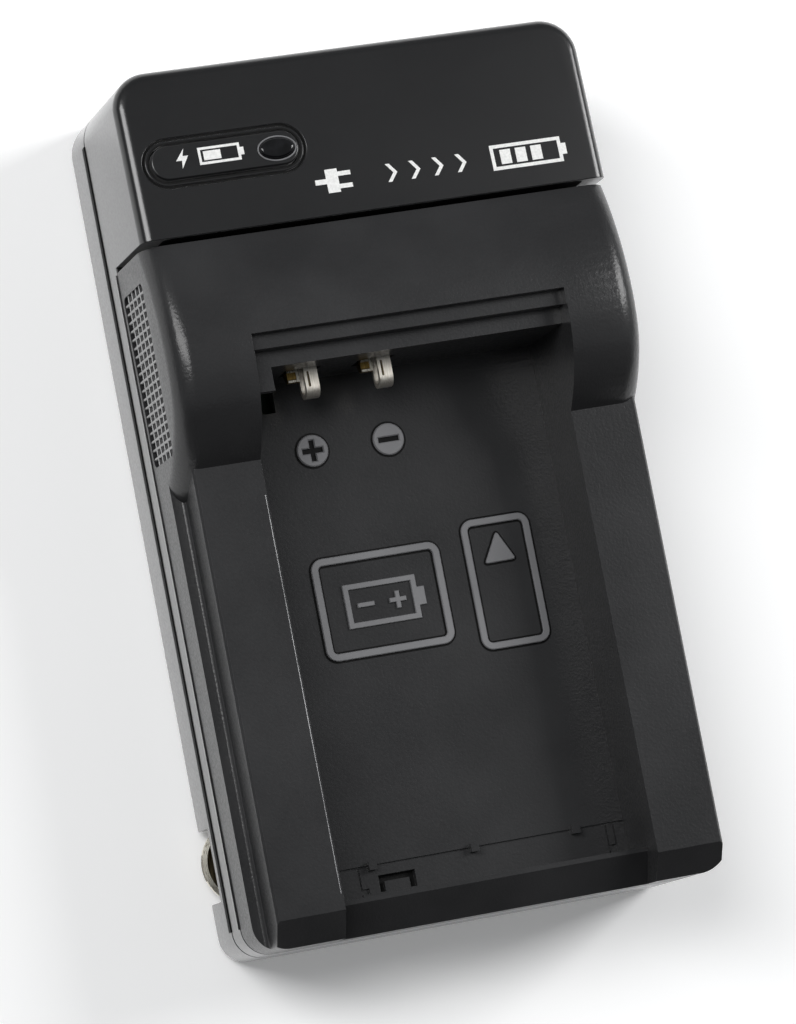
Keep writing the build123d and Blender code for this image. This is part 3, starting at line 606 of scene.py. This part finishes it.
def makeBayMarks():
    panelBand("packPanelBand")
    panelBand("slidePanelBand")

    arrow = easedLoop(bayMarks["arrow"], bayMarks["arrowEase"], bayMarks["arrowSteps"])
    markShadeRing("slideArrowGroove", arrow, [], 0, 0)
    bayMark("slideArrow", arrow, [], 0, 0, bayMarks)

    panel = bayMarks["packPanelBand"]
    bayMark("packSign", packSet["outline"], [packSet["hole"]], panel["x"], panel["distance"], packSet)
    for name, (sign, x) in packSet["signs"].items():
        bayMark(name, signLoop(sign, *packSet["bar"]), [], panel["x"] + x, panel["distance"], packSet)

    for name, (sign, x) in discSet["discs"].items():
        rim = ellipseLoop(discSet["diameter"] / 2, discSet["diameter"] / 2, 40)
        markShadeRing(name + "Groove", rim, [], x, discSet["distance"])
        bayMark(name, rim, [signLoop(sign, *discSet["bar"])[::-1]], x, discSet["distance"], discSet)


makeBayMarks()
print("bay marks raised")


# plain charging signs in white pad ink: plug, chevrons, battery, and a bolt in the pill
inkSet = {
    "rise": 0.035, "edge": 0.01,
    "capDistance": 78.9,
    "pillDistance": 83.45, "pillLift": 0.35,
    "terminal": (0.22, 1.4),  # a battery sign's terminal, shares of its height and of its line
    "capBattery": {"x": 17.6, "size": (8.0, 2.8), "line": 0.38},
    "capCharge": {"count": 3, "first": 15.25, "pitch": 1.75, "size": (1.2, 1.6)},
    "capChevron": {"count": 4, "first": 2.4, "pitch": 2.6},
    "capPlug": {"x": -4.2, "scale": 1.3},
    "pillBolt": {"x": -20.0, "scale": 0.95},
    "pillBattery": {"x": -15.9, "size": (4.6, 1.9), "line": 0.28},
    "pillCharge": {"x": -16.7, "size": (1.9, 1.0)},
}
boltLoop = [(-0.15, -1.15), (0.75, 0.3), (0.1, 0.3), (0.35, 1.15), (-0.75, -0.2), (-0.05, -0.2)]
chevronLoop = [(-0.6, -1.0), (-0.15, -1.0), (0.6, 0.0), (-0.15, 1.0), (-0.6, 1.0), (0.15, 0.0)]
plugHalf = [(-1.5, -0.22), (-0.55, -0.22), (-0.55, -1.0), (0.5, -1.0),
            (0.5, -0.72), (1.6, -0.72), (1.6, -0.34), (0.5, -0.34)]
plugLoop = plugHalf + [(x, -y) for x, y in reversed(plugHalf)]


def inkSign(name, x, outer, holes=(), scale=1.0):
    grown = [[(px * scale, py * scale) for px, py in loop] for loop in [outer, *holes]]
    mesh = raisedMesh(name, grown[0], grown[1:], inkSet["rise"], inkSet["edge"])
    if name.startswith("pill"):
        layOnCap(mesh, x, inkSet["pillDistance"], inkSet["pillLift"])
        newPiece(name, mesh, "padInkWhite", "case")
    else:
        layOnCap(mesh, x, inkSet["capDistance"])
        newPiece(name, mesh, "padInkWhite", "case")


def inkBattery(name):
    look = inkSet[name]
    a, b, line = look["size"][0] / 2, look["size"][1] / 2, look["line"]
    cap, tip = look["size"][1] * inkSet["terminal"][0], a + line * inkSet["terminal"][1]
    outer = [(-a, -b), (a, -b), (a, -cap), (tip, -cap), (tip, cap), (a, cap), (a, b), (-a, b)]
    hole = [(line - a, line - b), (line - a, b - line), (a - line, b - line), (a - line, line - b)]
    inkSign(name, look["x"], outer, [hole])


def makeInk():
    inkBattery("capBattery")
    for name, loop in (("capCharge", boxLoop(*inkSet["capCharge"]["size"])), ("capChevron", chevronLoop)):
        look = inkSet[name]
        for index in range(look["count"]):
            inkSign("%s%d" % (name, index), look["first"] + index * look["pitch"], loop)
    for name, loop in (("capPlug", plugLoop), ("pillBolt", boltLoop)):
        inkSign(name, inkSet[name]["x"], loop, scale=inkSet[name]["scale"])
    inkBattery("pillBattery")
    inkSign("pillCharge", inkSet["pillCharge"]["x"], boxLoop(*inkSet["pillCharge"]["size"]))


makeInk()
print("ink signs printed")


# toothed spring finger lying on each leaf, beside its contact
combSet = {"thickness": 0.12, "edge": 0.03, "reach": 2.4, "teeth": 3, "tooth": 0.28, "spine": 0.35}


def leafComb(name, nodeName):
    low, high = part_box(nodeName)
    wide, deep = inMm(high[0] - low[0]), min(combSet["reach"], inMm(high[1] - low[1]))
    tooth, spine = combSet["tooth"], wide - combSet["spine"]
    pitch = (deep - tooth) / (combSet["teeth"] - 1)
    outline = [(wide, 0), (wide, deep)]
    for index in reversed(range(combSet["teeth"])):
        start = index * pitch
        outline += [(0, start + tooth), (0, start)]
        if index:
            outline += [(spine, start), (spine, start - pitch + tooth)]
    mesh = raisedMesh(name, outline, [], combSet["thickness"], combSet["edge"])
    mesh.transform(Matrix.Translation((low[0], low[1], high[2])))
    newPiece(name, mesh, "nickelPlateBright", "case")


# painted dark reflection along the top of each contact
lineSet = {"size": (0.24, 1.7), "aside": 0.32, "setback": 1.1, "inlay": (0.012, 0.004)}


def contactDarkReflection(name, nodeName):
    low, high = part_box(nodeName)
    wide, deep = lineSet["size"]
    mesh = raisedMesh(name, roundedLoop((wide, deep), wide / 2 - 0.001, 4), [], *lineSet["inlay"])
    middle = inMm(low[0] + high[0]) / 2 - lineSet["aside"]
    lay(mesh, middle, fromFoot(low[1]) + lineSet["setback"] + deep / 2, inMm(high[2]))
    newPiece(name, mesh, "nickelTarnishAndDarkReflection", "case")


leafComb("positiveLeafComb", "positive_leaf")
leafComb("negativeLeafComb", "negative_leaf")
contactDarkReflection("positiveContactDarkReflection", "positive_contact")
contactDarkReflection("negativeContactDarkReflection", "negative_contact")


# painted highlight on the bevel of each blade tip
rimSet = {"slope": (0.35, 0.95), "lift": 0.01}  # how far a face leans to the side, and mm


def bladeRimHighlight(name, nodeName, body):
    work = bmesh.new()
    work.from_mesh(nodes[nodeName].data)
    least, most = rimSet["slope"]
    dull = [face for face in work.faces if not least < abs(face.normal.x) < most]
    bmesh.ops.delete(work, geom=dull, context="FACES")
    for vertex in work.verts:
        vertex.co += vertex.normal * mm(rimSet["lift"])
    newPiece(name, meshFrom(work, name), "nickelPlateBright", body)


bladeRimHighlight("bladeRimHighlightLeft", "plug_blade_left", "left_blade")
bladeRimHighlight("bladeRimHighlightRight", "plug_blade_right", "right_blade")
print("contact combs and blade rims laid")


def longStrip(name, profile, look, finishName):  # profile in mm, across and up
    work = bmesh.new()
    rings = [[work.verts.new((mm(x), along(look[end]), mm(z))) for x, z in profile] for end in ("start", "end")]
    count = len(profile)
    for i in range(count):
        j = (i + 1) % count
        work.faces.new((rings[0][i], rings[0][j], rings[1][j], rings[1][i]))
    work.faces.new(rings[0][::-1])
    work.faces.new(rings[1])
    bmesh.ops.recalc_face_normals(work, faces=work.faces)
    newPiece(name, meshFrom(work, name), finishName, "case")


# fine ledges where the mouldings meet along the sides, the shell's one near black with painted shade so that
# its seam reads as a dark line
seamSet = {
    "shellLedge": {"height": 8.22, "start": 3.2, "end": 89.5, "proud": 0.12, "taper": 1.4,
                   "finish": "absPaintedShadeMatte", "slot": "case_plastic"},
    "frameLedge": {"height": 12.02, "start": 3.2, "end": 74.4, "proud": 0.16, "taper": 1.2,
                   "finish": "absGlossMoulded", "slot": "cap_plastic"},
}
ledgeRoot = 0.1  # mm, how deep a ledge is set into the wall
ledgeEdge = 0.03


def seamLedge(name, sideName, side):
    look = seamSet[name]
    top, bottom = look["height"], look["height"] - look["taper"]
    root, out = halfWidth - ledgeRoot, halfWidth + look["proud"]
    wedge = [(root, top), (out - ledgeEdge, top), (out, top - ledgeEdge), (halfWidth, bottom), (root, bottom)]
    profile = [(side * x, z) for x, z in wedge]
    longStrip(name + sideName, profile, look, look["finish"])


for ledgeName in seamSet:
    seamLedge(ledgeName, "Left", -1)
    seamLedge(ledgeName, "Right", 1)


# painted glint along the bay edge, laid as a thin bead
bayEdge = {"x": -17.0, "height": 22.6, "start": 4.6, "end": 47.2, "round": 0.24, "lift": 0.015, "root": 0.3}


def bayEdgeGlint():
    x, top = bayEdge["x"] - bayEdge["round"], bayEdge["height"] - bayEdge["round"]
    radius = bayEdge["round"] + bayEdge["lift"]
    turns = [math.radians(angle) for angle in range(0, 91, 15)]
    profile = [(x + radius * math.sin(turn), top + radius * math.cos(turn)) for turn in turns]
    profile.append((bayEdge["x"] - bayEdge["root"], bayEdge["height"] - bayEdge["root"]))
    longStrip("bayEdgePaintedGlint", profile, bayEdge, "absPaintedEdgeGlint")


bayEdgeGlint()
print("seam ledges and edge glint laid")


# rings of painted shade round the pill window, the outer one in the groove sunk in the cap
pillSet = {
    "x": -15.3, "distance": 83.2, "inlay": (0.02, 0.005),
    "pillOuterShadeRing": {"size": (17.98, 5.48), "width": 0.28, "lift": -0.29},
    "pillInnerShadeRing": {"size": (17.0, 4.5), "width": 0.19, "lift": 0.0},
}


def pillShadeRing(name):
    look = pillSet[name]
    inner = [side - 2 * look["width"] for side in look["size"]]
    mesh = raisedMesh(name, pillLoop(*look["size"], 12), [pillLoop(*inner, 12)[::-1]], *pillSet["inlay"])
    layOnCap(mesh, pillSet["x"], pillSet["distance"], look["lift"])
    newPiece(name, mesh, "absPaintedShadeMatte", "case")


pillShadeRing("pillOuterShadeRing")
pillShadeRing("pillInnerShadeRing")


# shade on the cap's hidden front wall, so that the gap behind the hump is black
gapSet = {"width": 47.0, "bottom": 13.5, "top": 25.1, "corner": 1.0, "inlay": (0.03, 0.01)}


def capGapShade():
    height = gapSet["top"] - gapSet["bottom"]
    outline = roundedLoop((gapSet["width"], height), gapSet["corner"])
    mesh = raisedMesh("capGapShade", outline, [], *gapSet["inlay"])
    stand = Matrix.Rotation(math.pi / 2, 4, "X")  # turned to face the foot
    place = Matrix.Translation((0, along(capSet["start"]), mm(gapSet["bottom"] + height / 2)))
    mesh.transform(place @ stand)
    newPiece("capGapShade", mesh, "absPaintedShadeMatte", "case")


capGapShade()


# painted shade on the floor of the window at the foot of the bay, round its catch
windowSet = {"x": -8.2, "distance": 4.4, "floor": 11.9, "size": (4.06, 1.76), "catch": (2.84, 1.12),
             "near": 0.02, "inlay": (0.02, 0.005)}


def windowPaintedShade():
    wide, deep = windowSet["size"][0] / 2, windowSet["size"][1]
    gap, reach = windowSet["catch"][0] / 2, windowSet["catch"][1]
    near = windowSet["near"]
    outline = [(-wide, near), (-gap, near), (-gap, reach), (gap, reach), (gap, near), (wide, near),
               (wide, deep), (-wide, deep)]
    mesh = raisedMesh("windowPaintedShade", outline, [], *windowSet["inlay"])
    lay(mesh, windowSet["x"], windowSet["distance"], windowSet["floor"])
    newPiece("windowPaintedShade", mesh, "absPaintedShadeMatte", "case")


windowPaintedShade()


# thin pale lip round the lamp lens, its paleness a painted highlight of the rim
lensSet = {"lip": 0.16, "rise": 0.10, "edge": 0.04}


def lensRimHighlight():
    low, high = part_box("led_lens")
    x, distance = inMm(low[0] + high[0]) / 2, fromFoot((low[1] + high[1]) / 2)
    a, b = inMm(high[0] - low[0]) / 2, inMm(high[1] - low[1]) / 2
    inner = ellipseLoop(a, b, 48)
    outer = ellipseLoop(a + lensSet["lip"], b + lensSet["lip"], 48)
    mesh = raisedMesh("lensRimHighlight", outer, [inner[::-1]], lensSet["rise"], lensSet["edge"])
    layOnCap(mesh, x, distance, inkSet["pillLift"])
    newPiece("lensRimHighlight", mesh, "absRaisedPaleAndHighlight", "case")


lensRimHighlight()


# painted shade for the cross slots in the four screw heads on the back
crossSet = {
    "spots": ((-21.1, 24.0), (21.1, 24.0), (-20.8, 88.1), (20.8, 88.1)),
    "bar": (1.9, 0.42), "inlay": (0.03, 0.01),
}


def screwSlotShades():
    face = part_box("case_screws")[0][2]
    turned = Matrix.Rotation(math.pi, 4, "X")
    for index, (x, distance) in enumerate(crossSet["spots"]):
        name = "screwCross%d" % index
        mesh = raisedMesh(name, signLoop("plus", *crossSet["bar"]), [], *crossSet["inlay"])
        mesh.transform(Matrix.Translation((mm(x), along(distance), face)) @ turned)
        newPiece(name, mesh, "absPaintedShadeMatte", "case")


screwSlotShades()
print("lens lip and screw slots made")


# finger grip: a square lattice of ribs in the recess of each long side
gripSet = {
    "along": (53.0, 71.6), "up": (12.9, 21.9),
    "pitch": (0.93, 1.80),  # mm along the body and up the side
    "rib": (0.32, 0.62),  # width of the upright ribs and of the long ones
    "face": (25.92, 25.90),  # mm from the middle, the upright ribs just under the side wall
    "back": 25.28,
    "edge": 0.08,
}


def gripLattice(name, side):
    work = bmesh.new()
    edge, back = gripSet["edge"], gripSet["back"]
    spans = (gripSet["along"], gripSet["up"])

    def corner(spot, depth):
        return work.verts.new((side * mm(depth), along(spot[0]), mm(spot[1])))

    for axis in (0, 1):
        low, high = spans[axis]
        half, face = gripSet["rib"][axis] / 2, gripSet["face"][axis]
        section = ((-half - edge, back), (-half, face - edge), (-half + edge, face),
                   (half - edge, face), (half, face - edge), (half + edge, back))
        count = round((high - low) / gripSet["pitch"][axis])
        for index in range(1, count):
            middle = low + (high - low) * index / count
            rings = []
            for end in spans[1 - axis]:
                rings.append([corner((middle + offset, end) if axis == 0 else (end, middle + offset), depth)
                              for offset, depth in section])
            for i in range(len(section) - 1):
                work.faces.new((rings[0][i], rings[0][i + 1], rings[1][i + 1], rings[1][i]))
    bmesh.ops.recalc_face_normals(work, faces=work.faces)
    newPiece(name, meshFrom(work, name), "absSatinMoulded", "case")


gripLattice("gripLatticeLeft", -1)
gripLattice("gripLatticeRight", 1)
print("grip lattices cut")
